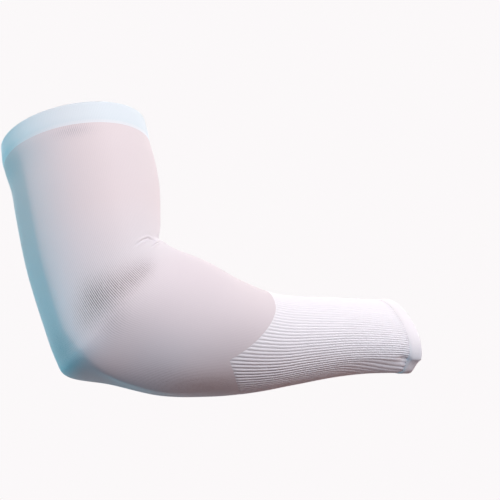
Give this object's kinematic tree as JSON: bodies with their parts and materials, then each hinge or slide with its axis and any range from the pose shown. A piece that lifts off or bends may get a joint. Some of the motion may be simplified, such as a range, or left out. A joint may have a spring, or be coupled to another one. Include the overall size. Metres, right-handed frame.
{
  "type": "sun protection arm sleeve",
  "caption": "Seamless knitted sun sleeve in its worn form: smooth upper band, plain tube bent at the elbow, ribbed wrist part and smooth end hem.",
  "frame": {"origin": "centre of the upper opening, in the plane of the upper band's top edge, where the upper arm leaves the sleeve", "axes": "+Z along the upper arm and out of the upper opening, +X in the elbow's bend plane the way the forearm end points, -Y the outer side of the arm"},
  "size_m": [0.3017, 0.1122, 0.2149],
  "materials": {
    "band_knit": "smooth dense stretch knit, matte with a slight sheen",
    "plain_knit": "thin plain stretch knit, matte, slightly sheer where stretched",
    "rib_knit": "ribbed stretch knit, matte",
    "hem_knit": "smooth turned hem, matte"
  },
  "bodies": {
    "root": {"upper_band": "band_knit", "arm_tube": "plain_knit", "wrist_rib": "rib_knit", "wrist_hem": "hem_knit"}
  },
  "joints": []
}
